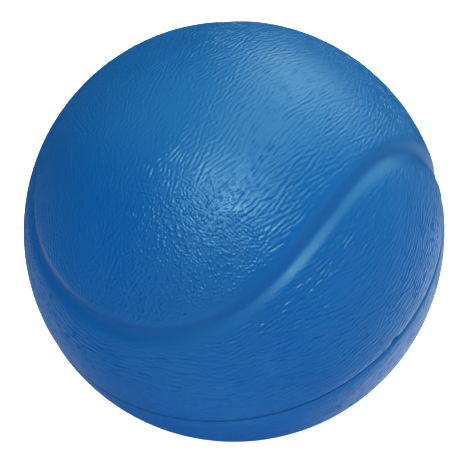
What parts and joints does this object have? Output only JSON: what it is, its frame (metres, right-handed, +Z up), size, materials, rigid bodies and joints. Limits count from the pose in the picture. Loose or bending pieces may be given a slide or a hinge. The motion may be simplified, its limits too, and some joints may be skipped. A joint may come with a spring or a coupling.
{
  "type": "stress ball",
  "caption": "Palm-sized foam squeeze ball with a leather-grained skin, a winding tennis-ball seam groove and a fine parting line.",
  "frame": {"origin": "middle of the small flat that the soft ball rests on, 31.3 mm below the ball's centre", "axes": "+Z up along the mould axis, square to the parting plane; +X along the seam's own axis, which lies in the parting plane; +Y completes the frame"},
  "size_m": [0.063, 0.063, 0.0628],
  "materials": {
    "skin": "dense polyurethane foam skin, semi-matt, leather grained, smooth in the seam groove",
    "flash": "trimmed polyurethane foam edge, matt",
    "core": "fine open cellular polyurethane foam, matt"
  },
  "bodies": {
    "root": {"upper_skin": "skin", "lower_skin": "skin", "parting_flash": "flash", "vent_stub": "flash", "foam_core": "core"}
  },
  "joints": []
}
